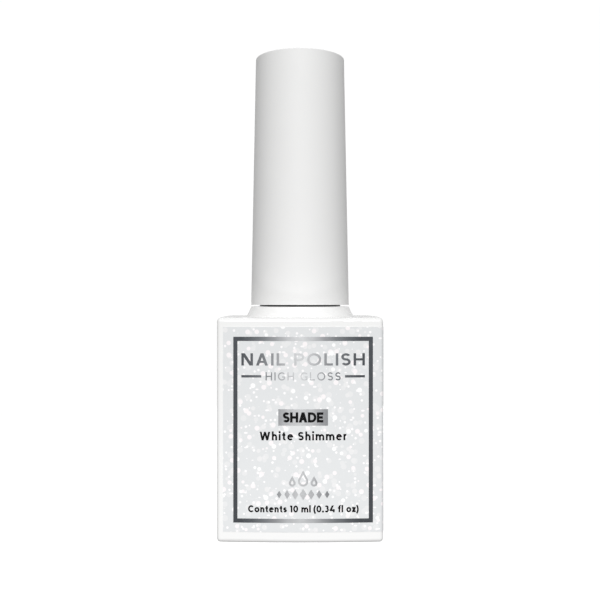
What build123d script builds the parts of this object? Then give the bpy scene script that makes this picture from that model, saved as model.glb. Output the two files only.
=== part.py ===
"""A 10 ml gel nail polish bottle: a square lacquered glass bottle, its wraparound label, and a tall
tapered screw cap that carries the brush. Millimetres, +Z up, origin at the centre of the base, and
the front of the label facing -Y."""

from math import atan, degrees, hypot
import os

from build123d import *

# ---- Driving dimensions ----

# Bottle body: a square pressed body whose four faces are slightly crowned.
BODY_WIDTH = 26.32  # from corner to corner of one face
BODY_HEIGHT = 35.6
FACE_CROWN = 0.5  # how far the middle of a face stands out past its corners
CORNER_RADIUS = 0.6
EDGE_RADIUS = 0.65  # top and bottom edges of the body

# Base: a shallow push-up, so that the bottle stands on a flat ring.
PUSH_UP_RADIUS = 9.0
PUSH_UP_DEPTH = 0.7

# Cavity and bore.
WALL = 3.2  # at the corners of a face, so the middle is thicker by the crown
FLOOR = 4.3  # thickness of the base at the cavity
SHOULDER_THICKNESS = 3.2
CAVITY_CORNER_RADIUS = 5.0
CAVITY_FLOOR_RADIUS = 1.5
CAVITY_SHOULDER_RADIUS = 4.0
BORE_RADIUS = 3.5
BORE_FLARE = 0.8  # rounding where the bore opens into the cavity

# Collar: the flared glass foot that carries on the line of the cap.
COLLAR_TOP_RADIUS = 8.46
COLLAR_FOOT_RADIUS = 9.30
COLLAR_HEIGHT = 1.71
COLLAR_HOLLOW = 0.06  # how far its side curves in from a straight line
COLLAR_EDGE_RADIUS = 0.15

# Screw finish: a 13-415 neck, two turns at 12 threads per inch.
THREAD_PITCH = 25.4 / 12
NECK_THREAD_RADIUS = 6.40
NECK_ROOT_RADIUS = 5.70
NECK_HEIGHT = 11.3
RIM_CHAMFER = 0.35
THREAD_START_BELOW_RIM = 0.9
NECK_THREAD_FULL_TURNS = 1.5
THREAD_FADE_TURNS = 0.25
NECK_THREAD_ROOT_WIDTH = 1.30
NECK_THREAD_CREST_WIDTH = 0.60
THREAD_EMBED = 0.12  # how deep a thread is sunk into the wall that it stands on
BEAD_RADIUS = 6.15
BEAD_WIDTH = 1.0
BEAD_HEIGHT = 1.6  # middle of the bead above the collar

# Label: a thin film round the body that leaves one front corner bare.
LABEL_THICKNESS = 0.06
LABEL_LOW = 1.76
LABEL_HIGH = 34.16
LABEL_START_X = -12.19  # its left edge on the front face
LABEL_END_Y = -8.5  # its other edge on the left face

# Overcap: a plain tapered tube, closed at the top.
CAP_GAP = 0.29  # between the collar and the overcap
CAP_LENGTH = 42.4
CAP_FOOT_RADIUS = 8.454
CAP_TOP_RADIUS = 7.624
CAP_WALL = 0.95
CAP_ROOF = 1.2
CAP_TOP_EDGE_RADIUS = 0.12
CAP_FOOT_EDGE_RADIUS = 0.03
CAP_INNER_RADIUS = 0.8  # rounding between its wall and roof, inside
CAP_SINK = 0.1  # how deep a ring or fin is sunk into the wall or roof that it stands on
FIN_COUNT = 8
FIN_THICKNESS = 0.7
FIN_INNER_RADIUS = 4.6
FIN_OUTER_RADIUS = 7.35
SNAP_RING_RADIUS = 7.08
SNAP_RING_LOW = 0.15  # above the foot of the overcap
SNAP_RING_WIDTH = 0.65
SNAP_RING_SLOPE = 0.12  # how far its two sides lean in

# Inner cap: the black threaded closure inside the overcap.
LIP_RADIUS = 6.96
LIP_HEIGHT = 1.15
LIP_CLEARANCE = 0.05  # between the lip and the collar
INNER_CAP_PLAY = 0.12  # between its wall and the overcap
KNURL_COUNT = 36
KNURL_WIDTH = 0.45
KNURL_PLAY = 0.02
INNER_CAP_ROOT_RADIUS = 6.48
INNER_CAP_CREST_RADIUS = 5.85
INNER_CAP_ROOF = 1.2
INNER_THREAD_TURNS = 1.5
INNER_THREAD_ROOT_WIDTH = 1.20
INNER_THREAD_CREST_WIDTH = 0.55
INNER_THREAD_EMBED = 0.05
THREAD_PLAY = 0.08  # axial play on the flank that pulls the cap down

# Sealing washer: squeezed between the neck's rim and the brush's flange.
WASHER_THICKNESS = 0.8
WASHER_RADIUS = 5.5
WASHER_HOLE_PLAY = 0.08

# Brush stem: a flanged rod, held by a ring inside the inner cap.
FLANGE_RADIUS = 5.2
FLANGE_THICKNESS = 1.0
FLANGE_STEP = 0.2
FLANGE_STEP_HEIGHT = 0.4
SPIGOT_RADIUS = 2.0
SPIGOT_HEIGHT = 0.7
STEM_RADIUS = 1.45
STEM_FOOT_Z = 21.4
FERRULE_RADIUS = 1.75
FERRULE_LENGTH = 5.5
FERRULE_CONE = 1.2  # height of the step from the ferrule to the rod
FERRULE_EDGE_RADIUS = 0.2
TUFT_BORE_RADIUS = 1.25
TUFT_BORE_DEPTH = 4.6
HOLD_RING_WALL = 0.6
HOLD_RING_PLAY = 0.02
HOLD_RING_LIFT = 0.1  # of the ring above the washer
HOLD_BEAD_HEIGHT = 0.35

# Bristles, folded over a wire staple and pressed into the foot of the stem.
TUFT_PLAY = 0.03
TUFT_TIP_Z = 8.85
TUFT_SECTIONS = (  # level, half width and half depth of the free bristles, from the stem down
    (17.0, 1.75, 1.15),
    (12.0, 2.10, 1.05),
    (TUFT_TIP_Z, 1.45, 0.60),
)
STAPLE_LENGTH = 2.9  # its ends bite into the wall of the bore
STAPLE_HEIGHT = 1.2
STAPLE_THICKNESS = 0.3
STAPLE_TOP_CLEARANCE = 0.9  # between the staple and the blind end of the bore

SAME = 1e-4  # two lengths nearer than this are taken to be equal

# ---- Derived levels ----

COLLAR_TOP_Z = BODY_HEIGHT + COLLAR_HEIGHT
RIM_Z = COLLAR_TOP_Z + NECK_HEIGHT
CAVITY_TOP_Z = BODY_HEIGHT - SHOULDER_THICKNESS
CAVITY_HALF = BODY_WIDTH / 2 - WALL
CAP_FOOT_Z = COLLAR_TOP_Z + CAP_GAP
CAP_TOP_Z = CAP_FOOT_Z + CAP_LENGTH
FLANGE_FOOT_Z = RIM_Z + WASHER_THICKNESS
FLANGE_TOP_Z = FLANGE_FOOT_Z + FLANGE_THICKNESS
INNER_CAP_FOOT_Z = COLLAR_TOP_Z + LIP_CLEARANCE
INNER_CAP_SHOULDER_Z = INNER_CAP_FOOT_Z + LIP_HEIGHT
INNER_CAP_TOP_Z = FLANGE_TOP_Z + INNER_CAP_ROOF
CAP_TAPER = (CAP_FOOT_RADIUS - CAP_TOP_RADIUS) / CAP_LENGTH
CAP_DRAFT = degrees(atan(CAP_TAPER))
CAP_ROOF_Z = CAP_TOP_Z - CAP_ROOF
BEAD_Z = COLLAR_TOP_Z + BEAD_HEIGHT
TUFT_BORE_TOP_Z = STEM_FOOT_Z + TUFT_BORE_DEPTH
STAPLE_Z = TUFT_BORE_TOP_Z - STAPLE_TOP_CLEARANCE - STAPLE_HEIGHT / 2

# The neck's thread: a fade-in, the full turns and a fade-out, all on one lead.
NECK_THREAD_DEPTH = NECK_THREAD_RADIUS - NECK_ROOT_RADIUS
FULL_RISE = THREAD_PITCH * NECK_THREAD_FULL_TURNS
FADE_RISE = THREAD_PITCH * THREAD_FADE_TURNS
FADE_CONE = degrees(atan(NECK_THREAD_DEPTH / FADE_RISE))
FADE_LEAD = hypot(NECK_THREAD_DEPTH, FADE_RISE) / THREAD_FADE_TURNS  # along the cone's side
NECK_THREAD_END_Z = RIM_Z - THREAD_START_BELOW_RIM - NECK_THREAD_ROOT_WIDTH / 2 - FADE_RISE
NECK_THREAD_START_Z = NECK_THREAD_END_Z - FULL_RISE

# The cap's thread lies half a pitch lower, moved up until its upper flank has only its play left.
INNER_THREAD_DEPTH = INNER_CAP_ROOT_RADIUS - INNER_CAP_CREST_RADIUS
NECK_FLANK_SLOPE = (NECK_THREAD_ROOT_WIDTH - NECK_THREAD_CREST_WIDTH) / NECK_THREAD_DEPTH
NECK_WIDTH_AT_CREST = NECK_THREAD_ROOT_WIDTH - NECK_FLANK_SLOPE * (INNER_CAP_CREST_RADIUS - NECK_ROOT_RADIUS)
FLANK_ROOM = (THREAD_PITCH - NECK_WIDTH_AT_CREST - INNER_THREAD_CREST_WIDTH) / 2
INNER_THREAD_START_Z = NECK_THREAD_START_Z - THREAD_PITCH / 2 + FLANK_ROOM - THREAD_PLAY


def cap_radius(z):
    """The overcap's outer radius at a level."""
    return CAP_FOOT_RADIUS - CAP_TAPER * (z - CAP_FOOT_Z)


def cap_bore(z):
    """The overcap's inner radius at a level."""
    return cap_radius(z) - CAP_WALL


def crowned_square(half, crown, radius, grow=0.0):
    """Fill the sketch with a square whose sides bow out by crown and whose corners are rounded."""
    reach = half + grow
    bow = 1 + crown / reach
    corners = [(-reach, -reach), (reach, -reach), (reach, reach), (-reach, reach)]
    with BuildLine() as outline:
        for (x0, y0), (x1, y1) in zip(corners, corners[1:] + corners[:1]):
            middle = ((x0 + x1) / 2 * bow, (y0 + y1) / 2 * bow)
            ThreePointArc((x0, y0), middle, (x1, y1))
    make_face(outline.edges())
    fillet(vertices(), radius=radius + grow)


def body_section(grow=0.0):
    """Fill the sketch with the bottle's plan, grown outwards by a distance."""
    crowned_square(BODY_WIDTH / 2, FACE_CROWN, CORNER_RADIUS, grow)


def circles_at(level, radius):
    """The part's round edges of one radius at one level."""
    at_level = edges().filter_by(GeomType.CIRCLE).filter_by_position(Axis.Z, level - SAME, level + SAME)
    return at_level.filter_by(lambda edge: abs(edge.radius - radius) < SAME)


def add_thread(path, depth, embed, crest_width, root_width):
    """Sweep a thread's section along a helix. The crest runs on the helix, and the root lies towards
    the axis when depth is positive, or away from it when depth is negative."""
    start = path @ 0
    outwards = Vector(start.X, start.Y, 0)
    with BuildSketch(Plane(origin=start, x_dir=outwards, z_dir=path % 0)) as section:
        Polygon(
            (0, -crest_width / 2),
            (0, crest_width / 2),
            (-depth, root_width / 2),
            (-depth - embed, root_width / 2),
            (-depth - embed, -root_width / 2),
            (-depth, -root_width / 2),
            align=None,
        )
    sweep(section.sketch, path=path, is_frenet=True)


# ---- Bottle ----

with BuildPart() as cavity:
    with BuildSketch(Plane.XY.offset(FLOOR)):
        crowned_square(CAVITY_HALF, FACE_CROWN, CAVITY_CORNER_RADIUS)
    extrude(amount=CAVITY_TOP_Z - FLOOR)
    fillet(faces().sort_by(Axis.Z)[0].edges(), radius=CAVITY_FLOOR_RADIUS)
    fillet(faces().sort_by(Axis.Z)[-1].edges(), radius=CAVITY_SHOULDER_RADIUS)
    with BuildSketch(Plane.XY.offset(CAVITY_TOP_Z)):
        Circle(BORE_RADIUS)
    extrude(amount=RIM_Z - CAVITY_TOP_Z)
    chamfer(circles_at(CAVITY_TOP_Z, BORE_RADIUS), length=BORE_FLARE)

with BuildPart() as bottle:
    with BuildSketch():
        body_section()
    extrude(amount=BODY_HEIGHT)
    fillet(faces().filter_by(Axis.Z).edges(), radius=EDGE_RADIUS)

    # The collar and the plain neck, turned about Z.
    collar_middle = (COLLAR_TOP_RADIUS + COLLAR_FOOT_RADIUS) / 2 - COLLAR_HOLLOW
    with BuildSketch(Plane.XZ):
        with BuildLine():
            Polyline(
                (COLLAR_TOP_RADIUS, COLLAR_TOP_Z),
                (NECK_ROOT_RADIUS, COLLAR_TOP_Z),
                (NECK_ROOT_RADIUS, RIM_Z),
                (0, RIM_Z),
                (0, FLOOR),
                (COLLAR_FOOT_RADIUS, FLOOR),
                (COLLAR_FOOT_RADIUS, BODY_HEIGHT),
            )
            ThreePointArc(
                (COLLAR_FOOT_RADIUS, BODY_HEIGHT),
                (collar_middle, BODY_HEIGHT + COLLAR_HEIGHT / 2),
                (COLLAR_TOP_RADIUS, COLLAR_TOP_Z),
            )
        make_face()
    revolve(axis=Axis.Z)
    fillet(circles_at(COLLAR_TOP_Z, COLLAR_TOP_RADIUS), radius=COLLAR_EDGE_RADIUS)
    chamfer(faces().sort_by(Axis.Z)[-1].edges(), length=RIM_CHAMFER)

    # The bead under the thread.
    bead_foot = (NECK_ROOT_RADIUS, BEAD_Z - BEAD_WIDTH / 2)
    bead_top = (NECK_ROOT_RADIUS, BEAD_Z + BEAD_WIDTH / 2)
    with BuildSketch(Plane.XZ):
        with BuildLine():
            Line(bead_foot, bead_top)
            ThreePointArc(bead_top, (BEAD_RADIUS, BEAD_Z), bead_foot)
        make_face()
    revolve(axis=Axis.Z)

    # The thread.
    with BuildLine(mode=Mode.PRIVATE) as full_turns:
        Helix(THREAD_PITCH, FULL_RISE, NECK_THREAD_RADIUS, center=(0, 0, NECK_THREAD_START_Z))
    with BuildLine(mode=Mode.PRIVATE) as fade_in:
        Helix(FADE_LEAD, FADE_RISE, NECK_ROOT_RADIUS, cone_angle=FADE_CONE)
    with BuildLine(mode=Mode.PRIVATE) as fade_out:
        Helix(FADE_LEAD, FADE_RISE, NECK_THREAD_RADIUS, cone_angle=-FADE_CONE)
    lead_in = fade_in.line.rotate(Axis.Z, -360 * THREAD_FADE_TURNS)
    lead_in = lead_in.translate((0, 0, NECK_THREAD_START_Z - FADE_RISE))
    lead_out = fade_out.line.rotate(Axis.Z, 360 * NECK_THREAD_FULL_TURNS)
    lead_out = lead_out.translate((0, 0, NECK_THREAD_END_Z))
    for path in (full_turns.line, lead_in, lead_out):
        add_thread(path, NECK_THREAD_DEPTH, THREAD_EMBED, NECK_THREAD_CREST_WIDTH, NECK_THREAD_ROOT_WIDTH)

    add(cavity.part, mode=Mode.SUBTRACT)

    # The push-up under the base, a shallow dome.
    with BuildSketch(Plane.XZ):
        with BuildLine():
            TangentArc((0, PUSH_UP_DEPTH), (PUSH_UP_RADIUS, 0), tangent=(1, 0))
            Polyline((PUSH_UP_RADIUS, 0), (0, 0), (0, PUSH_UP_DEPTH))
        make_face()
    revolve(axis=Axis.Z, mode=Mode.SUBTRACT)

bottle.part.label = "bottle"

# ---- Label ----

with BuildPart() as label:
    with BuildSketch(Plane.XY.offset(LABEL_LOW)):
        body_section(LABEL_THICKNESS)
    extrude(amount=LABEL_HIGH - LABEL_LOW)
    with BuildSketch(Plane.XY.offset(LABEL_LOW)):
        body_section()
    extrude(amount=LABEL_HIGH - LABEL_LOW, mode=Mode.SUBTRACT)
    with BuildSketch(Plane.XY.offset(LABEL_LOW)):
        with Locations((-BODY_WIDTH, -BODY_WIDTH)):
            Rectangle(
                BODY_WIDTH + LABEL_START_X,
                BODY_WIDTH + LABEL_END_Y,
                align=(Align.MIN, Align.MIN),
            )
    extrude(amount=LABEL_HIGH - LABEL_LOW, mode=Mode.SUBTRACT)

label.part.label = "label"

# ---- Overcap ----

with BuildPart() as overcap:
    with BuildSketch(Plane.XZ):
        Polygon(
            (0, CAP_FOOT_Z),
            (CAP_FOOT_RADIUS, CAP_FOOT_Z),
            (CAP_TOP_RADIUS, CAP_TOP_Z),
            (0, CAP_TOP_Z),
            align=None,
        )
    revolve(axis=Axis.Z)
    fillet(faces().sort_by(Axis.Z)[-1].edges(), radius=CAP_TOP_EDGE_RADIUS)
    fillet(faces().sort_by(Axis.Z)[0].edges(), radius=CAP_FOOT_EDGE_RADIUS)

    # The hollow inside.
    with BuildSketch(Plane.XZ) as hollow:
        Polygon(
            (0, CAP_FOOT_Z),
            (cap_bore(CAP_FOOT_Z), CAP_FOOT_Z),
            (cap_bore(CAP_ROOF_Z), CAP_ROOF_Z),
            (0, CAP_ROOF_Z),
            align=None,
        )
        roof_corner = vertices().group_by(Axis.Y)[-1].sort_by(Axis.X)[-1]
        fillet(roof_corner, radius=CAP_INNER_RADIUS)
    revolve(axis=Axis.Z, mode=Mode.SUBTRACT)

    # The ring that snaps under the inner cap's shoulder.
    ring_low = CAP_FOOT_Z + SNAP_RING_LOW
    ring_high = ring_low + SNAP_RING_WIDTH
    with BuildSketch(Plane.XZ):
        Polygon(
            (cap_bore(ring_low) + CAP_SINK, ring_low),
            (SNAP_RING_RADIUS, ring_low + SNAP_RING_SLOPE),
            (SNAP_RING_RADIUS, ring_high - SNAP_RING_SLOPE),
            (cap_bore(ring_high) + CAP_SINK, ring_high),
            align=None,
        )
    revolve(axis=Axis.Z)

    # The fins that stand on the inner cap and stiffen the tube.
    with BuildSketch(Plane.XY.offset(INNER_CAP_TOP_Z)):
        with PolarLocations(FIN_INNER_RADIUS, FIN_COUNT):
            Rectangle(
                FIN_OUTER_RADIUS - FIN_INNER_RADIUS,
                FIN_THICKNESS,
                align=(Align.MIN, Align.CENTER),
            )
    extrude(amount=CAP_ROOF_Z - INNER_CAP_TOP_Z + CAP_SINK)

overcap.part.label = "overcap"

# ---- Inner cap ----

with BuildPart() as inner_cap:
    # A knurled plug with the overcap's own taper, then the plain lip under it.
    with BuildSketch(Plane.XY.offset(INNER_CAP_SHOULDER_Z)):
        Circle(cap_bore(INNER_CAP_SHOULDER_Z) - INNER_CAP_PLAY)
        with PolarLocations(0, KNURL_COUNT):
            Rectangle(
                cap_bore(INNER_CAP_SHOULDER_Z) - KNURL_PLAY,
                KNURL_WIDTH,
                align=(Align.MIN, Align.CENTER),
            )
    extrude(amount=INNER_CAP_TOP_Z - INNER_CAP_SHOULDER_Z, taper=CAP_DRAFT)
    with BuildSketch(Plane.XY.offset(INNER_CAP_FOOT_Z)):
        Circle(LIP_RADIUS)
    extrude(amount=LIP_HEIGHT)

    # The chamber for the neck, with the ring and recess that hold the brush stem.
    ring_bore = FLANGE_RADIUS + HOLD_RING_PLAY
    bead_bore = ring_bore - FLANGE_STEP
    bead_top_z = FLANGE_FOOT_Z + HOLD_BEAD_HEIGHT
    ring_foot_z = FLANGE_FOOT_Z + HOLD_RING_LIFT
    recess_top_z = FLANGE_TOP_Z + SPIGOT_HEIGHT + HOLD_RING_PLAY
    with BuildSketch(Plane.XZ):
        Polygon(
            (0, INNER_CAP_FOOT_Z),
            (INNER_CAP_ROOT_RADIUS, INNER_CAP_FOOT_Z),
            (INNER_CAP_ROOT_RADIUS, FLANGE_TOP_Z),
            (ring_bore + HOLD_RING_WALL, FLANGE_TOP_Z),
            (ring_bore + HOLD_RING_WALL, ring_foot_z),
            (bead_bore, ring_foot_z),
            (bead_bore, bead_top_z),
            (ring_bore, bead_top_z),
            (ring_bore, FLANGE_TOP_Z),
            (SPIGOT_RADIUS + HOLD_RING_PLAY, FLANGE_TOP_Z),
            (SPIGOT_RADIUS + HOLD_RING_PLAY, recess_top_z),
            (0, recess_top_z),
            align=None,
        )
    revolve(axis=Axis.Z, mode=Mode.SUBTRACT)

    # Its thread, which stands in from the wall.
    with BuildLine(mode=Mode.PRIVATE) as inner_turns:
        Helix(
            THREAD_PITCH,
            THREAD_PITCH * INNER_THREAD_TURNS,
            INNER_CAP_CREST_RADIUS,
            center=(0, 0, INNER_THREAD_START_Z),
        )
    add_thread(
        inner_turns.line,
        -INNER_THREAD_DEPTH,
        -INNER_THREAD_EMBED,
        INNER_THREAD_CREST_WIDTH,
        INNER_THREAD_ROOT_WIDTH,
    )

inner_cap.part.label = "inner_cap"

# ---- Sealing washer ----

with BuildPart() as sealing_washer:
    with BuildSketch(Plane.XY.offset(RIM_Z)):
        Circle(WASHER_RADIUS)
        Circle(STEM_RADIUS + WASHER_HOLE_PLAY, mode=Mode.SUBTRACT)
    extrude(amount=WASHER_THICKNESS)

sealing_washer.part.label = "sealing_washer"

# ---- Brush stem ----

with BuildPart() as brush_stem:
    ferrule_top_z = STEM_FOOT_Z + FERRULE_LENGTH
    with BuildSketch(Plane.XZ):
        Polygon(
            (0, STEM_FOOT_Z),
            (FERRULE_RADIUS, STEM_FOOT_Z),
            (FERRULE_RADIUS, ferrule_top_z),
            (STEM_RADIUS, ferrule_top_z + FERRULE_CONE),
            (STEM_RADIUS, FLANGE_FOOT_Z),
            (FLANGE_RADIUS - FLANGE_STEP, FLANGE_FOOT_Z),
            (FLANGE_RADIUS - FLANGE_STEP, FLANGE_FOOT_Z + FLANGE_STEP_HEIGHT),
            (FLANGE_RADIUS, FLANGE_FOOT_Z + FLANGE_STEP_HEIGHT),
            (FLANGE_RADIUS, FLANGE_TOP_Z),
            (SPIGOT_RADIUS, FLANGE_TOP_Z),
            (SPIGOT_RADIUS, FLANGE_TOP_Z + SPIGOT_HEIGHT),
            (0, FLANGE_TOP_Z + SPIGOT_HEIGHT),
            align=None,
        )
    revolve(axis=Axis.Z)
    fillet(faces().sort_by(Axis.Z)[0].edges(), radius=FERRULE_EDGE_RADIUS)
    with BuildSketch(Plane.XY.offset(STEM_FOOT_Z)):
        Circle(TUFT_BORE_RADIUS)
    extrude(amount=TUFT_BORE_DEPTH, mode=Mode.SUBTRACT)

brush_stem.part.label = "brush_stem"

# ---- Brush anchor ----

with BuildPart() as brush_anchor:
    with Locations((0, 0, STAPLE_Z)):
        Box(STAPLE_LENGTH, STAPLE_THICKNESS, STAPLE_HEIGHT)

brush_anchor.part.label = "brush_anchor"

# ---- Bristle tuft ----

with BuildPart() as bristle_tuft:
    # The folded root, held in the stem round the staple.
    with BuildSketch(Plane.XY.offset(STEM_FOOT_Z)):
        Circle(TUFT_BORE_RADIUS - TUFT_PLAY)
    extrude(amount=TUFT_BORE_DEPTH - TUFT_PLAY)
    # The free bristles, spread to a flat oval and drawn in at the tip.
    with BuildSketch(Plane.XY.offset(STEM_FOOT_Z)):
        Circle(TUFT_BORE_RADIUS - TUFT_PLAY)
    for level, half_width, half_depth in TUFT_SECTIONS:
        with BuildSketch(Plane.XY.offset(level)):
            Ellipse(half_width, half_depth)
    loft()
    add(brush_anchor.part, mode=Mode.SUBTRACT)

bristle_tuft.part.label = "bristle_tuft"

# ---- Export ----

os.makedirs("parts", exist_ok=True)
for piece in (
    bottle,
    label,
    overcap,
    inner_cap,
    sealing_washer,
    brush_stem,
    brush_anchor,
    bristle_tuft,
):
    export_step(piece.part, f"parts/{piece.part.label}.step")
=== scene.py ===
"""Looks of the nail polish bottle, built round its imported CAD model. Metres, +Z up, front at -Y."""

import math
import random

import bmesh
import bpy
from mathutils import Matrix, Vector
from mathutils.geometry import delaunay_2d_cdt


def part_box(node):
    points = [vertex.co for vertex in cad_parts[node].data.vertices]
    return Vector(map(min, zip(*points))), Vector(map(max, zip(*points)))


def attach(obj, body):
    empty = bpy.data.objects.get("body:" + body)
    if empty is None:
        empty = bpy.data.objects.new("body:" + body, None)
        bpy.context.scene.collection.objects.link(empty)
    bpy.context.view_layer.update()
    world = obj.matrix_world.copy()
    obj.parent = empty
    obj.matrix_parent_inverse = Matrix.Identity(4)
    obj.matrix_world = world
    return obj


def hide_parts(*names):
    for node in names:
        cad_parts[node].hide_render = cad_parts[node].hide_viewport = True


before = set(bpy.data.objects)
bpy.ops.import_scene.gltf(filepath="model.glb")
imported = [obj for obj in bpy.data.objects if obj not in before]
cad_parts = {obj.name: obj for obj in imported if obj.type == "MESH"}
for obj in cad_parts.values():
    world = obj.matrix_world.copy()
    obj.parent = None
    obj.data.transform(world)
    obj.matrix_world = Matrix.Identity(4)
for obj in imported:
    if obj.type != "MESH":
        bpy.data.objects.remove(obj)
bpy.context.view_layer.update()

MM = 0.001
scene = bpy.context.scene

# ---- Places read from the CAD model ----

LABEL_LOW, LABEL_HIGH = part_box("label")
TUFT_LOW, TUFT_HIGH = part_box("bristle_tuft")
STAPLE_LOW, STAPLE_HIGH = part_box("brush_anchor")
CAP_FOOT_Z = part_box("overcap")[0].z
STEM_FOOT_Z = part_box("brush_stem")[0].z

FACE_CROWN = 0.5 * MM  # how far the middle of a face of the body stands out past its corners
FACE_HALF = LABEL_HIGH.x - FACE_CROWN
FACE_RADIUS = (FACE_HALF**2 + FACE_CROWN**2) / (2 * FACE_CROWN)
FACE_CENTRE_Y = LABEL_LOW.y + FACE_RADIUS


def on_label(x, z, lift):
    """The point at a height above the label's bowed front face."""
    share = x / FACE_RADIUS
    reach = FACE_RADIUS + lift
    return Vector((reach * share, FACE_CENTRE_Y - reach * math.sqrt(1 - share**2), z))


def add_object(name, data):
    """A new object that shows this data in the scene."""
    made = bpy.data.objects.new(name, data)
    scene.collection.objects.link(made)
    return made


# ---- Node helpers ----

SPOT_EDGE = 0.03 * MM  # width of the soft edge of a spot
SPOT_SCATTER = 0.85  # 0 puts the spots on a grid, and 1 anywhere in their cells
MIX_FIRST, MIX_SECOND, MIX_RESULT = 6, 7, 2  # the colour sockets of a Mix node


def new_material(name, **settings):
    """A material whose shader has these settings, given as socket names with _ for a space."""
    material = bpy.data.materials.new(name)
    material.use_nodes = True
    tree = material.node_tree
    shader = tree.nodes["Principled BSDF"]
    for socket, value in settings.items():
        shader.inputs[socket.replace("_", " ")].default_value = value
    return material, tree, shader


def node(tree, kind, inputs, **settings):
    """A new node. Each input is a value, or a socket to link from."""
    made = tree.nodes.new(kind)
    for key, value in settings.items():
        setattr(made, key, value)
    for name, value in inputs.items():
        if isinstance(value, bpy.types.NodeSocket):
            tree.links.new(value, made.inputs[name])
        else:
            made.inputs[name].default_value = value
    return made


def place(tree, stretch=(1, 1, 1), turn=(0, 0, 0)):
    """The point on the object in metres, which may be stretched and turned."""
    point = tree.nodes.new("ShaderNodeTexCoord").outputs["Object"]
    inputs = {"Vector": point, "Scale": stretch, "Rotation": turn}
    return node(tree, "ShaderNodeMapping", inputs).outputs["Vector"]


def axes_of(tree):
    """The point's X, Y and Z in metres."""
    split = node(tree, "ShaderNodeSeparateXYZ", {"Vector": place(tree)})
    return split.outputs["X"], split.outputs["Y"], split.outputs["Z"]


def maths(tree, operation, first, second=0.0):
    """One sum on two numbers."""
    return node(tree, "ShaderNodeMath", {0: first, 1: second}, operation=operation).outputs[0]


def fade(tree, value, start, end):
    """0 where value is at start, rising to 1 at end."""
    inputs = {"Value": value, "From Min": start, "From Max": end}
    made = node(tree, "ShaderNodeMapRange", inputs, interpolation_type="SMOOTHSTEP")
    return made.outputs["Result"]


def noise(tree, grain, at=None, detail=3.0):
    """Smooth noise from 0 to 1 with features of a size in metres."""
    inputs = {"Vector": at or place(tree), "Scale": 1 / grain, "Detail": detail}
    return node(tree, "ShaderNodeTexNoise", inputs).outputs["Fac"]


def spots(tree, cell, radius, at=None):
    """1 inside round spots of up to a radius, with about one spot in each cell of space."""
    inputs = {"Vector": at or place(tree), "Scale": 1 / cell, "Randomness": SPOT_SCATTER}
    distance = node(tree, "ShaderNodeTexVoronoi", inputs).outputs["Distance"]
    return fade(tree, distance, radius / cell, (radius - SPOT_EDGE) / cell)


def colour_ramp(tree, value, stops):
    """Colours in order of their positions from 0 to 1."""
    ramp = node(tree, "ShaderNodeValToRGB", {"Fac": value})
    elements = ramp.color_ramp.elements
    while len(elements) < len(stops):
        elements.new(position=0.5)
    for element, (position, colour) in zip(elements, stops):
        element.position = position
        element.color = (*colour, 1)
    return ramp.outputs["Color"]


def blend_colours(tree, share, first, second):
    """The first colour where share is 0, and the second where it is 1."""
    made = node(tree, "ShaderNodeMix", {"Factor": share}, data_type="RGBA")
    for socket, value in ((made.inputs[MIX_FIRST], first), (made.inputs[MIX_SECOND], second)):
        if isinstance(value, bpy.types.NodeSocket):
            tree.links.new(value, socket)
        else:
            socket.default_value = (*value, 1)
    return made.outputs[MIX_RESULT]


def bump(tree, height, depth, under=None):
    """A normal bumped by a height from 0 to 1 that is this many metres deep."""
    made = node(tree, "ShaderNodeBump", {"Height": height, "Distance": depth})
    if under:
        tree.links.new(under, made.inputs["Normal"])
    return made.outputs["Normal"]


def roughness_between(tree, value, low, high):
    """A roughness that follows a value from 0 to 1."""
    inputs = {"Value": value, "To Min": low, "To Max": high}
    return node(tree, "ShaderNodeMapRange", inputs).outputs["Result"]


def finish_shader(tree, shader, colour=None, roughness=None, normal=None):
    """Link what varies over the surface to its shader."""
    for value, socket in ((colour, "Base Color"), (roughness, "Roughness"), (normal, "Normal")):
        if value:
            tree.links.new(value, shader.inputs[socket])


# ---- Materials ----

# The two colours that each surface varies between.
LACQUER_WHITES = ((0.93, 0.93, 0.925), (0.91, 0.91, 0.905))
FILM_GREYS = ((0.757, 0.771, 0.780), (0.772, 0.785, 0.793))
OVERCAP_WHITES = ((0.875, 0.875, 0.87), (0.85, 0.85, 0.845))
CLOSURE_BLACKS = ((0.016, 0.016, 0.018), (0.028, 0.028, 0.031))
FOAM_WHITES = ((0.84, 0.835, 0.81), (0.70, 0.695, 0.67))
STEM_BLACKS = ((0.018, 0.018, 0.02), (0.034, 0.034, 0.038))
BRASS_YELLOWS = ((0.72, 0.55, 0.26), (0.52, 0.38, 0.18))
INK_BLACKS = ((0.002, 0.002, 0.002), (0.005, 0.005, 0.006))

BARE_GLASS = (0.60, 0.66, 0.645)
BARE_RADIUS = 5.37 * MM  # how far out the bare glass of the neck's rim and bore reaches
BARE_DEPTH = 4 * MM  # and how far down below the overcap's foot

GLITTER = (  # the cell, largest radius and colour of each kind of spot
    (1.50 * MM, 0.50 * MM, (0.822, 0.826, 0.832)),
    (2.00 * MM, 0.43 * MM, (0.850, 0.848, 0.852)),
    (1.74 * MM, 0.41 * MM, (0.965, 0.925, 0.935)),
    (2.18 * MM, 0.40 * MM, (1.0, 1.0, 1.0)),
    (1.00 * MM, 0.215 * MM, (1.0, 0.985, 0.99)),
)
FLECK_CELL = 1.25 * MM
FLECK_RADIUS = 0.17 * MM
FLECK_COLOUR = (1.0, 0.98, 0.985)
FLECK_STRETCH = (0.5, 1, 1)
FLECK_SLANT = 25  # degrees

NYLON_STOPS = (
    (0.3, (0.016, 0.012, 0.011)),
    (0.5, (0.045, 0.034, 0.030)),
    (0.7, (0.115, 0.084, 0.070)),
)

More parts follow.
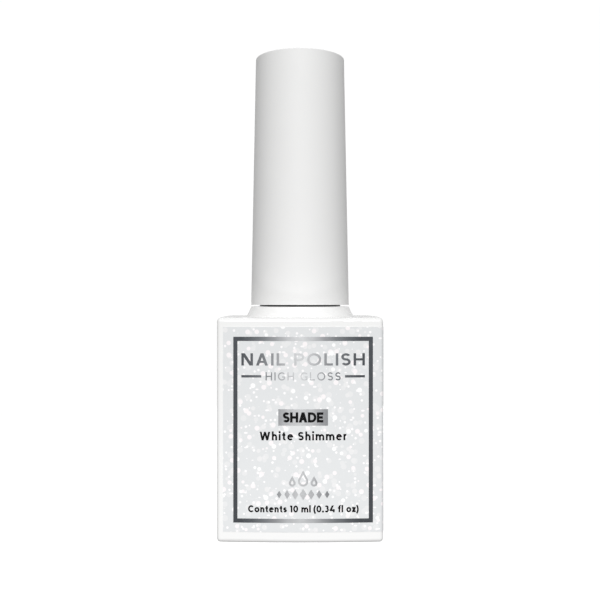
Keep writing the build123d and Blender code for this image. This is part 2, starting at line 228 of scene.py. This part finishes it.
FOIL_PAINTED_DARK_FROM = 9.5 * MM  # distance from the middle of the face where the foil's painted reflection is darkest
# Painted reflection: the foil's colours from the bright middle of the face (0) to its dark sides (1),
# standing in for what the metal reflects
FOIL_PAINTED_REFLECTION_STOPS = (
    (0.0, (0.68, 0.69, 0.70)),
    (0.2, (0.57, 0.578, 0.592)),
    (0.4, (0.345, 0.351, 0.366)),
    (0.6, (0.21, 0.22, 0.234)),
    (0.8, (0.122, 0.131, 0.143)),
    (1.0, (0.075, 0.082, 0.092)),
)
FOIL_MOTTLE = (0.5, 0.5, 0.51)
FOIL_MOTTLE_SHARE = 0.04


def lacquered_glass():
    """Glossy white lacquer sprayed on glass, with the rim and the bore left as bare glass."""
    material, tree, shader = new_material(
        "white_lacquer",
        Coat_Weight=0.6,
        Coat_Roughness=0.05,
        IOR=1.5,
    )
    x, y, z = axes_of(tree)
    flat = node(tree, "ShaderNodeCombineXYZ", {"X": x, "Y": y}).outputs[0]
    radius = node(tree, "ShaderNodeVectorMath", {0: flat}, operation="LENGTH").outputs["Value"]
    inside = maths(tree, "LESS_THAN", radius, BARE_RADIUS)
    high = maths(tree, "GREATER_THAN", z, CAP_FOOT_Z - BARE_DEPTH)
    bare = maths(tree, "MULTIPLY", inside, high)
    white = blend_colours(tree, noise(tree, grain=9 * MM), *LACQUER_WHITES)
    colour = blend_colours(tree, bare, white, BARE_GLASS)
    peel = bump(tree, noise(tree, grain=2.2 * MM, detail=0.0), depth=0.004 * MM)
    rough = roughness_between(tree, noise(tree, grain=4 * MM), low=0.16, high=0.26)
    finish_shader(tree, shader, colour, rough, peel)
    return material


def label_film():
    """Satin film printed pale grey, with five kinds of round glitter spots and slanting flecks."""
    material, tree, shader = new_material(
        "glitter_film",
        Coat_Weight=0.15,
        Coat_Roughness=0.12,
        IOR=1.46,
    )
    colour = blend_colours(tree, noise(tree, grain=6 * MM), *FILM_GREYS)
    for cell, radius, spot_colour in GLITTER:
        colour = blend_colours(tree, spots(tree, cell, radius), colour, spot_colour)
    fleck_at = place(tree, stretch=FLECK_STRETCH, turn=(0, math.radians(FLECK_SLANT), 0))
    flecks = spots(tree, FLECK_CELL, FLECK_RADIUS, fleck_at)
    colour = blend_colours(tree, flecks, colour, FLECK_COLOUR)
    grain = bump(tree, noise(tree, grain=0.25 * MM), depth=0.002 * MM)
    rough = roughness_between(tree, noise(tree, grain=0.6 * MM), low=0.34, high=0.46)
    finish_shader(tree, shader, colour, rough, grain)
    return material


def overcap_plastic():
    """Soft matte white plastic with a fine spark-eroded grain over slight waves."""
    material, tree, shader = new_material("matte_white_plastic", Specular_IOR_Level=0.35)
    colour = blend_colours(tree, noise(tree, grain=7 * MM), *OVERCAP_WHITES)
    waves = bump(tree, noise(tree, grain=5 * MM, detail=1.0), depth=0.01 * MM)
    grain = bump(tree, noise(tree, grain=0.14 * MM), depth=0.006 * MM, under=waves)
    rough = roughness_between(tree, noise(tree, grain=1.5 * MM), low=0.52, high=0.64)
    finish_shader(tree, shader, colour, rough, grain)
    return material


def closure_plastic():
    """Black moulded plastic with a fine grain."""
    material, tree, shader = new_material("black_closure_plastic", Specular_IOR_Level=0.5)
    colour = blend_colours(tree, noise(tree, grain=1.8 * MM), *CLOSURE_BLACKS)
    grain = bump(tree, noise(tree, grain=0.18 * MM), depth=0.008 * MM)
    rough = roughness_between(tree, noise(tree, grain=0.8 * MM), low=0.34, high=0.48)
    finish_shader(tree, shader, colour, rough, grain)
    return material


def washer_foam():
    """Closed-cell white foam."""
    material, tree, shader = new_material("white_foam", Specular_IOR_Level=0.25)
    cell = 0.22 * MM
    inputs = {"Vector": place(tree), "Scale": 1 / cell}
    cells = node(tree, "ShaderNodeTexVoronoi", inputs, feature="SMOOTH_F1").outputs["Distance"]
    colour = blend_colours(tree, cells, *FOAM_WHITES)
    pits = bump(tree, cells, depth=0.04 * MM)
    rough = roughness_between(tree, cells, low=0.75, high=0.9)
    finish_shader(tree, shader, colour, rough, pits)
    return material


def stem_plastic():
    """Black satin plastic with faint draw marks along the stem."""
    material, tree, shader = new_material("black_stem_plastic", Specular_IOR_Level=0.5)
    streaks = noise(tree, grain=0.25 * MM, at=place(tree, stretch=(1, 1, 0.05)))
    colour = blend_colours(tree, streaks, *STEM_BLACKS)
    grain = bump(tree, streaks, depth=0.006 * MM)
    rough = roughness_between(tree, streaks, low=0.24, high=0.38)
    finish_shader(tree, shader, colour, rough, grain)
    return material


def staple_wire():
    """Drawn brass wire, dulled in patches."""
    material, tree, shader = new_material("brass_wire", Metallic=1.0)
    streaks = noise(tree, grain=0.08 * MM, at=place(tree, stretch=(0.08, 1, 1)))
    colour = blend_colours(tree, noise(tree, grain=0.5 * MM), *BRASS_YELLOWS)
    grain = bump(tree, streaks, depth=0.004 * MM)
    rough = roughness_between(tree, streaks, low=0.22, high=0.42)
    finish_shader(tree, shader, colour, rough, grain)
    return material


def nylon_bristle():
    """Dark nylon filaments that differ a little from one to the next."""
    material, tree, shader = new_material(
        "dark_nylon",
        Coat_Weight=0.3,
        Coat_Roughness=0.2,
        IOR=1.53,
    )
    along = place(tree, stretch=(1, 1, 0.02))
    strands = noise(tree, grain=0.12 * MM, at=along, detail=1.0)
    colour = colour_ramp(tree, strands, NYLON_STOPS)
    rough = roughness_between(tree, strands, low=0.28, high=0.42)
    finish_shader(tree, shader, colour, rough)
    return material


def silver_foil():
    """Silver foil with a painted reflection: its colour runs from dark at the two sides of the face
    to bright silver in the middle.
    """
    material, tree, shader = new_material("silver_foil", Metallic=0.85, Coat_Weight=0.1)
    # Painted reflection: the foil's colour darkens with distance across the face from its middle
    across = maths(tree, "ABSOLUTE", axes_of(tree)[0])
    painted_reflection = colour_ramp(tree, maths(tree, "DIVIDE", across, FOIL_PAINTED_DARK_FROM), FOIL_PAINTED_REFLECTION_STOPS)
    mottle = noise(tree, grain=0.5 * MM)
    mottled = maths(tree, "MULTIPLY", mottle, FOIL_MOTTLE_SHARE)
    colour = blend_colours(tree, mottled, painted_reflection, FOIL_MOTTLE)
    grain = bump(tree, noise(tree, grain=0.2 * MM), depth=0.002 * MM)
    rough = roughness_between(tree, mottle, low=0.26, high=0.42)
    finish_shader(tree, shader, colour, rough, grain)
    return material


def black_ink():
    """Screen-printed black ink."""
    material, tree, shader = new_material("black_ink", Specular_IOR_Level=0.08)
    mottle = noise(tree, grain=0.3 * MM)
    colour = blend_colours(tree, mottle, *INK_BLACKS)
    grain = bump(tree, mottle, depth=0.002 * MM)
    rough = roughness_between(tree, mottle, low=0.42, high=0.55)
    finish_shader(tree, shader, colour, rough, grain)
    return material


for cad_node, finish in (
    ("bottle", lacquered_glass),
    ("label", label_film),
    ("overcap", overcap_plastic),
    ("inner_cap", closure_plastic),
    ("sealing_washer", washer_foam),
    ("brush_stem", stem_plastic),
    ("brush_anchor", staple_wire),
):
    made = finish()
    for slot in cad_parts[cad_node].material_slots:
        slot.material = made

# ---- Print on the label: flat shapes, merged, laid on the bowed face and given a thickness ----

DESIGN_X = 0.495 * MM  # middle of the printed design
PRINT_SINK = 0.004 * MM  # how far each layer reaches into the film
FOIL_RISE = 0.02 * MM
INK_RISE = 0.014 * MM
CELL_WIDTH = 0.8 * MM  # a printed bar is cut into cells no wider than this, to follow the face
MERGE_DISTANCE = 1e-5  # millimetres
KEEP_INSIDES = 1  # the kind of triangulation that keeps only what lies inside the shapes
ARC_STEP = 9.0  # degrees
ARC_LEAST_CELLS = 3
DISC_STEP = 20  # degrees


def bar(x0, z0, x1, z1, cell=None):
    """An upright rectangle, cut into cells along X if it is wide."""
    count = max(1, math.ceil((x1 - x0) / cell)) if cell else 1
    edges = [x0 + (x1 - x0) * i / count for i in range(count + 1)]
    return [((a, z0), (b, z0), (b, z1), (a, z1)) for a, b in zip(edges, edges[1:])]


def slant(foot, low, head, high, width):
    """A sloping stroke with level ends, whose middle runs from foot up to head."""
    half = width / 2
    return [((foot - half, low), (foot + half, low), (head + half, high), (head - half, high))]


def arc(centre, radii, start, end, weight):
    """A curved stroke along part of an ellipse, anticlockwise from +X, in degrees."""
    count = max(ARC_LEAST_CELLS, round((end - start) / ARC_STEP))
    turns = [math.radians(start + (end - start) * i / count) for i in range(count + 1)]
    (cx, cz), (rx, rz) = centre, radii
    half = weight / 2
    inner_x, inner_z = max(rx - half, 0), max(rz - half, 0)
    rim = [(cx + (rx + half) * math.cos(t), cz + (rz + half) * math.sin(t)) for t in turns]
    hole = [(cx + inner_x * math.cos(t), cz + inner_z * math.sin(t)) for t in turns]
    return [(hole[i], rim[i], rim[i + 1], hole[i + 1]) for i in range(count)]


def ring(left, low, right, high, weight, start=0, end=360):
    """An oval stroke, or part of one, that fills a box."""
    centre = ((left + right) / 2, (low + high) / 2)
    radii = ((right - left - weight) / 2, (high - low - weight) / 2)
    return arc(centre, radii, start, end, weight)


def disc(x, z, radius):
    """A filled circle."""
    turns = [math.radians(angle) for angle in range(0, 360, DISC_STEP)]
    return [tuple((x + radius * math.cos(t), z + radius * math.sin(t)) for t in turns)]


def s_curve(width, height, weight):
    """The letter S, from two arcs that meet in the middle."""
    mouth = 28
    radii = ((width - weight) / 2, (height - weight) / 4)
    low = (width / 2, weight / 2 + radii[1])
    high = (width / 2, height - weight / 2 - radii[1])
    return arc(high, radii, mouth, 270, weight) + arc(low, radii, mouth - 180, 90, weight)


def arch(left, right, top, weight):
    """The shoulder and right leg of an n."""
    rise = 0.27
    radii = ((right - left - weight) / 2, rise)
    spring = top - weight / 2 - rise
    shoulder = arc(((left + right) / 2, spring), radii, 0, 180, weight)
    return shoulder + bar(right - weight, 0, right, spring)


def glyph(letter, w):
    """A letter's width and strokes, for a cap height of 1 and a stroke weight of w."""
    x_height = 0.74
    tall = 1.05  # top of the letters that rise past the capitals
    past = 0.01  # how far a round letter reaches past the line and the height it is drawn to
    h = w / 2
    stem = bar(0, 0, w, 1)
    letters = {
        " ": (0.22, []),
        "A": (
            0.86,
            slant(0.6 * w, 0, 0.43, 1, 1.15 * w)
            + slant(0.86 - 0.6 * w, 0, 0.43, 1, 1.15 * w)
            + bar(0.17, 0.22, 0.69, 0.22 + 0.9 * w),
        ),
        "C": (0.82, ring(0, -past, 0.92, 1 + past, w, 42, 318)),
        "D": (
            0.84,
            stem
            + bar(0, 0, 0.36, w)
            + bar(0, 1 - w, 0.36, 1)
            + arc((0.36, 0.5), (0.48 - h, 0.5 - h), -90, 90, w),
        ),
        "E": (
            0.64,
            stem
            + bar(0, 0, 0.64, w)
            + bar(0, 0.5 - h, 0.58, 0.5 + h)
            + bar(0, 1 - w, 0.64, 1),
        ),
        "G": (
            0.88,
            ring(0, -past, 0.96, 1 + past, w, 42, 325)
            + bar(0.87 - w, 0.13, 0.87, 0.50)
            + bar(0.52, 0.50 - w, 0.87, 0.50),
        ),
        "H": (0.80, stem + bar(0.80 - w, 0, 0.80, 1) + bar(0, 0.5 - h, 0.80, 0.5 + h)),
        "I": (w, stem),
        "L": (0.60, stem + bar(0, 0, 0.60, w)),
        "N": (
            0.82,
            stem
            + bar(0.82 - w, 0, 0.82, 1)
            + slant(0.82 - 0.68 * w, 0, 0.68 * w, 1, 1.36 * w),
        ),
        "O": (1.0, ring(0, -past, 1.0, 1 + past, w)),
        "P": (
            0.70,
            stem
            + bar(0, 1 - w, 0.40, 1)
            + bar(0, 0.38, 0.40, 0.38 + w)
            + arc((0.40, 0.69), (0.30 - h, 0.31 - h), -90, 90, w),
        ),
        "S": (0.66, s_curve(0.66, 1, w)),
        "W": (
            1.26,
            slant(0.36, 0, 0.6 * w, 1, 1.1 * w)
            + slant(0.36, 0, 0.63, 1, 1.1 * w)
            + slant(0.90, 0, 0.63, 1, 1.1 * w)
            + slant(0.90, 0, 1.26 - 0.6 * w, 1, 1.1 * w),
        ),
        "e": (
            0.68,
            ring(0, -past, 0.70, x_height + past, w, 0, 318)
            + bar(h, 0.33, 0.70 - h, 0.33 + 0.85 * w),
        ),
        "f": (
            0.40,
            bar(0.10, 0, 0.10 + w, 0.84)
            + arc((0.10 + h + 0.16, 0.84), (0.16, tall - 0.84 - h), 75, 180, w)
            + bar(0, x_height - 0.9 * w, 0.38, x_height),
        ),
        "h": (0.62, bar(0, 0, w, tall) + arch(0, 0.62, x_height, w)),
        "i": (w, bar(0, 0, w, x_height) + disc(h, 0.96, 0.62 * w)),
        "l": (w, bar(0, 0, w, tall)),
        "m": (
            1.02,
            bar(0, 0, w, x_height)
            + arch(0, 0.51 + h, x_height, w)
            + arch(0.51 - h, 1.02, x_height, w),
        ),
        "n": (0.62, bar(0, 0, w, x_height) + arch(0, 0.62, x_height, w)),
        "o": (0.72, ring(0, -past, 0.72, x_height + past, w)),
        "r": (
            0.38,
            bar(0, 0, w, x_height)
            + arc((0.30, 0.40), (0.30 - h, x_height - 0.40 - h), 78, 180, w),
        ),
        "s": (0.52, s_curve(0.52, x_height, w)),
        "t": (
            0.42,
            bar(0.10, 0.17, 0.10 + w, 0.94)
            + arc((0.10 + h + 0.15, 0.17), (0.15, 0.17 - h), 180, 290, w)
            + bar(0, x_height - 0.9 * w, 0.39, x_height),
        ),
        "z": (
            0.54,
            bar(0, 0, 0.54, w)
            + bar(0, x_height - w, 0.54, x_height)
            + slant(0.75 * w, 0, 0.54 - 0.75 * w, x_height, 1.5 * w),
        ),
        "0": (0.72, ring(0, -past, 0.72, 1 + past, w)),
        "1": (0.34, bar(0.34 - w, 0, 0.34, 1) + bar(0, 1 - w, 0.34, 1)),
        "3": (
            0.62,
            ring(0, 0.46, 0.58, 1 + past, w, -90, 148)
            + ring(-0.02, -past, 0.62, 0.46 + w, w, -148, 90),
        ),
        "4": (
            0.74,
            slant(0.09, 0.22, 0.46, 1, 1.25 * w)
            + bar(0.02, 0.18, 0.74, 0.18 + w)
            + bar(0.48, 0, 0.48 + w, 0.46),
        ),
        ".": (w, disc(h, h, 0.62 * w)),
        "(": (0.24, arc((0.60, 0.42), (0.56, 0.80), 132, 228, w)),
        ")": (0.24, arc((-0.36, 0.42), (0.56, 0.80), -48, 48, w)),
    }
    return letters[letter]


def line_of_text(text, width, middle, height, weight, stretch=1.0):
    """A line of text centred on the design and spaced out to a width.

    Its height is that of its capitals, its weight that of its strokes as a share of the height,
    and stretch widens its letters.
    """
    letters = [glyph(letter, weight) for letter in text]
    wide = height * stretch
    gap = (width / wide - sum(size for size, _ in letters)) / (len(letters) - 1)
    left = DESIGN_X - width / 2
    base = middle - height / 2
    shapes, cursor = [], 0
    for size, strokes in letters:
        for polygon in strokes:
            shapes.append([(left + (cursor + x) * wide, base + z * height) for x, z in polygon])
        cursor += size + gap
    return shapes


def add_print(name, polygons, rise, material):
    """Merge overlapping shapes and lay them on the label as one thin layer."""
    flat, faces = [], []
    for polygon in polygons:
        faces.append(list(range(len(flat), len(flat) + len(polygon))))
        flat.extend(Vector((x / MM, z / MM)) for x, z in polygon)
    merged = delaunay_2d_cdt(flat, [], faces, KEEP_INSIDES, MERGE_DISTANCE)
    points, _, cells, _, _, owners = merged
    triangles = [cell for cell, owned in zip(cells, owners) if owned]

    shape = bmesh.new()
    top = [shape.verts.new(on_label(x * MM, z * MM, rise)) for x, z in points]
    foot = [shape.verts.new(on_label(x * MM, z * MM, -PRINT_SINK)) for x, z in points]
    sides = {}
    for a, b, c in triangles:
        shape.faces.new((top[a], top[b], top[c]))
        shape.faces.new((foot[c], foot[b], foot[a]))
        for edge in ((a, b), (b, c), (c, a)):
            if edge[::-1] in sides:
                del sides[edge[::-1]]
            else:
                sides[edge] = True
    for a, b in sides:
        shape.faces.new((foot[a], foot[b], top[b], top[a]))
    bmesh.ops.delete(shape, geom=[v for v in shape.verts if not v.link_faces], context="VERTS")
    bmesh.ops.recalc_face_normals(shape, faces=shape.faces)
    mesh = bpy.data.meshes.new(name)
    shape.to_mesh(mesh)
    shape.free()
    mesh.materials.append(material)
    piece = add_object(name, mesh)
    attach(piece, "bottle")


FRAME_HALF = 11.04 * MM
FRAME_FOOT_Z = 3.23 * MM
FRAME_TOP_Z = 32.60 * MM
FRAME_LINE = 0.66 * MM
TEXT_HALF = 9.76 * MM  # half the width of the title, and of the subtitle with its dashes

foil = silver_foil()
ink = black_ink()

frame_left, frame_right = DESIGN_X - FRAME_HALF, DESIGN_X + FRAME_HALF
frame_bars = (
    bar(frame_left, FRAME_FOOT_Z, frame_right, FRAME_FOOT_Z + FRAME_LINE, CELL_WIDTH)
    + bar(frame_left, FRAME_TOP_Z - FRAME_LINE, frame_right, FRAME_TOP_Z, CELL_WIDTH)
    + bar(frame_left, FRAME_FOOT_Z, frame_left + FRAME_LINE, FRAME_TOP_Z)
    + bar(frame_right - FRAME_LINE, FRAME_FOOT_Z, frame_right, FRAME_TOP_Z)
)
add_print("print_frame", frame_bars, FOIL_RISE, foil)

title = line_of_text(
    "NAIL POLISH",
    width=2 * TEXT_HALF,
    middle=29.03 * MM,
    height=1.93 * MM,
    weight=0.178,
    stretch=1.16,
)
add_print("print_title", title, FOIL_RISE, foil)

SUBTITLE_Z = 26.36 * MM
DASH_LENGTH = 3.15 * MM
DASH_HALF = 0.19 * MM
subtitle = line_of_text(
    "HIGH GLOSS",
    width=11.85 * MM,
    middle=SUBTITLE_Z,
    height=1.28 * MM,
    weight=0.145,
)
for left in (DESIGN_X - TEXT_HALF, DESIGN_X + TEXT_HALF - DASH_LENGTH):
    right = left + DASH_LENGTH
    subtitle += bar(left, SUBTITLE_Z - DASH_HALF, right, SUBTITLE_Z + DASH_HALF, CELL_WIDTH)
add_print("print_subtitle", subtitle, FOIL_RISE, foil)

PLATE_Z = 19.88 * MM
PLATE_HALF_WIDTH = 3.92 * MM
PLATE_HALF_HEIGHT = 1.30 * MM
plate = bar(
    DESIGN_X - PLATE_HALF_WIDTH,
    PLATE_Z - PLATE_HALF_HEIGHT,
    DESIGN_X + PLATE_HALF_WIDTH,
    PLATE_Z + PLATE_HALF_HEIGHT,
    CELL_WIDTH,
)
add_print("print_plate", plate, INK_RISE, foil)
plate_word = line_of_text(
    "SHADE",
    width=6.38 * MM,
    middle=PLATE_Z,
    height=1.60 * MM,
    weight=0.245,
)
add_print("print_plate_word", plate_word, 2 * INK_RISE, ink)

shade_name = line_of_text(
    "White Shimmer",
    width=13.75 * MM,
    middle=16.93 * MM,
    height=1.34 * MM,
    weight=0.215,
)
add_print("print_shade_name", shade_name, INK_RISE, ink)

contents = line_of_text(
    "Contents 10 ml (0.34 fl oz)",
    width=17.4 * MM,
    middle=5.44 * MM,
    height=1.08 * MM,
    weight=0.235,
)
add_print("print_contents", contents, INK_RISE, ink)

# The emblem: three outlined drops over a row of lozenges.
DROPS_FOOT_Z = 8.98 * MM
DROPS = (  # place across and radius
    (-1.72 * MM, 0.54 * MM),
    (0.0, 0.82 * MM),
    (1.72 * MM, 0.54 * MM),
)
DROP_TIP = 2.1  # height of the tip above the middle of the round part, in radii
DROP_LINE = 0.32 * MM
DROP_CELLS = 24
LOZENGE_Z = 7.72 * MM
LOZENGE_PITCH = 1.26 * MM
LOZENGES_EACH_SIDE = 3
LOZENGE_HALF_WIDE = 0.58 * MM  # of the middle one
LOZENGE_HALF_TALL = 0.92 * MM
LOZENGE_SHRINK = 0.12  # how much smaller each is than the last, as a share of the middle one


def drop_outline(x, z, radius):
    """Points round a drop, anticlockwise, with its tip at the top."""
    side = math.acos(1 / DROP_TIP)
    first, last = math.pi / 2 + side, math.pi * 2.5 - side
    turns = [first + (last - first) * i / DROP_CELLS for i in range(DROP_CELLS + 1)]
    round_part = [(x + radius * math.cos(t), z + radius * math.sin(t)) for t in turns]
    return round_part + [(x, z + radius * DROP_TIP)]


def drop(x, radius):
    """The line round a drop that stands on the foot of the row of drops."""
    z = DROPS_FOOT_Z + radius
    outer = drop_outline(x, z, radius)
    hollow = drop_outline(x, z, radius - DROP_LINE)
    return [(hollow[i - 1], outer[i - 1], outer[i], hollow[i]) for i in range(len(outer))]


def lozenge(x, scale):
    """A lozenge in the row."""
    half_wide, half_tall = LOZENGE_HALF_WIDE * scale, LOZENGE_HALF_TALL * scale
    corners = ((-half_wide, 0), (0, -half_tall), (half_wide, 0), (0, half_tall))
    return [tuple((x + across, LOZENGE_Z + up) for across, up in corners)]


emblem = []
for across, radius in DROPS:
    emblem += drop(DESIGN_X + across, radius)
for step in range(-LOZENGES_EACH_SIDE, LOZENGES_EACH_SIDE + 1):
    emblem += lozenge(DESIGN_X + step * LOZENGE_PITCH, 1 - LOZENGE_SHRINK * abs(step))
add_print("print_emblem", emblem, FOIL_RISE, foil)

# ---- Bristles: separate tapered filaments in place of the CAD tuft ----

BRISTLE_SEED = 7
FILAMENT_COUNT = 230
FILAMENT_RADIUS = 0.058 * MM
FILAMENT_POINTS = 12
FILAMENT_TIP = 0.45  # radius at the tip as a share of the radius above it
TAPER_FROM = 0.6  # share of the filament's length where its taper starts
GOLDEN_TURN = math.pi * (3 - math.sqrt(5))
BUNDLE_FILL = 0.97  # how far out the outermost filament stands, as a share of the bundle
TIP_RISE_WIDE = 1.25  # millimetres that the tips rise towards the bundle's two edges
TIP_RISE_DEEP = 0.45  # and towards its front and back
TIP_UNEVEN = 0.3  # millimetres
STRAY = 0.05  # millimetres that a tip strays sideways
STAPLE_ROOM = 0.5 * MM  # the filaments come together this far below the staple
ROOT_TOP_Z = TUFT_HIGH.z - 0.1 * MM
ROOT_RADIUS = 1.22 * MM
TUFT_SHAPE = (  # level, half width and half depth of the bundle, as the CAD tuft has them
    (ROOT_TOP_Z, ROOT_RADIUS, ROOT_RADIUS),
    (STEM_FOOT_Z, ROOT_RADIUS, ROOT_RADIUS),
    (17.0 * MM, 1.75 * MM, 1.15 * MM),
    (12.0 * MM, 2.10 * MM, 1.05 * MM),
    (TUFT_LOW.z, 1.45 * MM, 0.60 * MM),
)


def tuft_half_sizes(z):
    """The bundle's half width and half depth at a level, eased between its stated levels."""
    for (high, wide_0, deep_0), (low, wide_1, deep_1) in zip(TUFT_SHAPE, TUFT_SHAPE[1:]):
        if z >= low:
            share = (high - z) / (high - low)
            eased = share * share * (3 - 2 * share)
            return wide_0 + (wide_1 - wide_0) * eased, deep_0 + (deep_1 - deep_0) * eased
    return TUFT_SHAPE[-1][1:]


def build_bristles():
    """A bundle of filaments folded past the staple and cut to a rounded tip."""
    chance = random.Random(BRISTLE_SEED)
    line = bpy.data.curves.new("filaments", "CURVE")
    line.dimensions = "3D"
    line.bevel_depth = FILAMENT_RADIUS
    line.bevel_resolution = 1
    line.use_fill_caps = True
    clear_of_staple = (STAPLE_HIGH.y - STAPLE_LOW.y) / 2 + FILAMENT_RADIUS
    for i in range(FILAMENT_COUNT):
        out = math.sqrt((i + 0.5) / FILAMENT_COUNT) * BUNDLE_FILL
        turn = i * GOLDEN_TURN
        across, deep = out * math.cos(turn), out * math.sin(turn)
        rise = TIP_RISE_WIDE * across**2 + TIP_RISE_DEEP * deep**2 + TIP_UNEVEN * chance.random()
        tip_z = TUFT_LOW.z + rise * MM
        stray = chance.uniform(-STRAY, STRAY) * MM
        spline = line.splines.new("POLY")
        spline.points.add(FILAMENT_POINTS - 1)
        for k, point in enumerate(spline.points):
            share = k / (FILAMENT_POINTS - 1)
            z = ROOT_TOP_Z + (tip_z - ROOT_TOP_Z) * share
            half_wide, half_deep = tuft_half_sizes(z)
            y = (half_deep - FILAMENT_RADIUS) * deep
            if z > STAPLE_LOW.z - STAPLE_ROOM:
                y = math.copysign(max(abs(y), clear_of_staple), deep)
            x = (half_wide - FILAMENT_RADIUS) * across + stray * share
            tapered = max(0, share - TAPER_FROM) / (1 - TAPER_FROM)
            point.co = (x, y, z, 1)
            point.radius = 1 - (1 - FILAMENT_TIP) * tapered
    holder = add_object("filaments", line)
    bpy.context.view_layer.update()
    evaluated = holder.evaluated_get(bpy.context.evaluated_depsgraph_get())
    mesh = bpy.data.meshes.new_from_object(evaluated)
    bpy.data.objects.remove(holder)
    for face in mesh.polygons:
        face.use_smooth = True
    mesh.materials.clear()
    mesh.materials.append(nylon_bristle())
    piece = add_object("bristles", mesh)
    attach(piece, "cap")
    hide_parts("bristle_tuft")


build_bristles()

# ---- Stage: floor, surroundings, lights and camera ----

FLOOR_RADIUS = 0.17
FLOOR_CORNERS = 128
FLOOR_GLOW = 0.50
floor_shape = bmesh.new()
bmesh.ops.create_circle(
    floor_shape, cap_ends=True, segments=FLOOR_CORNERS, radius=FLOOR_RADIUS
)
floor_mesh = bpy.data.meshes.new("floor")
floor_shape.to_mesh(floor_mesh)
floor_shape.free()
floor = add_object("floor", floor_mesh)
paper = new_material(
    "white_paper",
    Base_Color=(0.9, 0.9, 0.9, 1),
    Roughness=0.9,
    Specular_IOR_Level=0.0,
    Emission_Color=(1, 1, 1, 1),
    Emission_Strength=FLOOR_GLOW,
)[0]
floor_mesh.materials.append(paper)
floor.visible_diffuse = False
floor.visible_glossy = False

BACKDROP = 0.785  # what the camera sees, besides the ambient light
REFLECTED = 0.46  # what glossy surfaces reflect, besides the ambient light
AMBIENT = 0.235  # what lights the matt surfaces
world = bpy.data.worlds.new("studio")
scene.world = world
world.use_nodes = True
sky = world.node_tree
path = sky.nodes.new("ShaderNodeLightPath")
seen = maths(sky, "MULTIPLY", path.outputs["Is Camera Ray"], BACKDROP)
mirrored = maths(sky, "MULTIPLY", path.outputs["Is Glossy Ray"], REFLECTED)
strength = maths(sky, "ADD", maths(sky, "MAXIMUM", seen, mirrored), AMBIENT)
background = sky.nodes["Background"]
background.inputs["Color"].default_value = (1, 1, 1, 1)
sky.links.new(strength, background.inputs["Strength"])

TARGET = Vector((0, 0, 0.040))


def add_softbox(name, azimuth, elevation, distance, size, irradiance, target=TARGET):
    """An area light that gives its target an irradiance, where pi is full white.

    Its azimuth is in degrees from the front towards the object's right-hand side.
    """
    light = bpy.data.lights.new(name, "AREA")
    light.shape = "RECTANGLE"
    light.size, light.size_y = size
    light.energy = irradiance * (math.pi * distance) ** 2
    holder = add_object(name, light)
    turn, lift = math.radians(azimuth), math.radians(elevation)
    level = math.cos(lift)
    away = Vector((math.sin(turn) * level, -math.cos(turn) * level, math.sin(lift)))
    holder.location = target + away * distance
    holder.rotation_mode = "QUATERNION"
    holder.rotation_quaternion = away.to_track_quat("Z", "Y")
    return holder


add_softbox("key", azimuth=0, elevation=32, distance=4.0, size=(1.6, 1.6), irradiance=0.846)
add_softbox("back", azimuth=180, elevation=45, distance=1.0, size=(0.3, 0.3), irradiance=0.08)
for azimuth in (-150, 150):
    rim = add_softbox(
        "rim", azimuth, elevation=15, distance=1.0, size=(0.4, 0.4), irradiance=0.23
    )
    rim.visible_glossy = False
fill = add_softbox(
    "fill",
    azimuth=0,
    elevation=0,
    distance=0.054,
    size=(0.10, 0.006),
    irradiance=0.16,
    target=Vector((0, 0, 0.0035)),
)
fill.visible_glossy = False
fill.visible_camera = False

CAMERA_DISTANCE = 0.15096
CAMERA_HEIGHT = 0.03809
CAMERA_SENSOR = 36  # millimetres, as the lens is
CAMERA_LENS = 52.2
CAMERA_SHIFT = 0.00333
camera = bpy.data.cameras.new("camera")
camera.sensor_width = CAMERA_SENSOR
camera.lens = CAMERA_LENS
camera.shift_y = CAMERA_SHIFT
camera.clip_start = 0.01
camera.clip_end = 10
camera_holder = add_object("camera", camera)
camera_holder.location = (0, -CAMERA_DISTANCE, CAMERA_HEIGHT)
camera_holder.rotation_euler = (math.radians(90), 0, 0)
scene.camera = camera_holder
scene.view_settings.view_transform = "Standard"
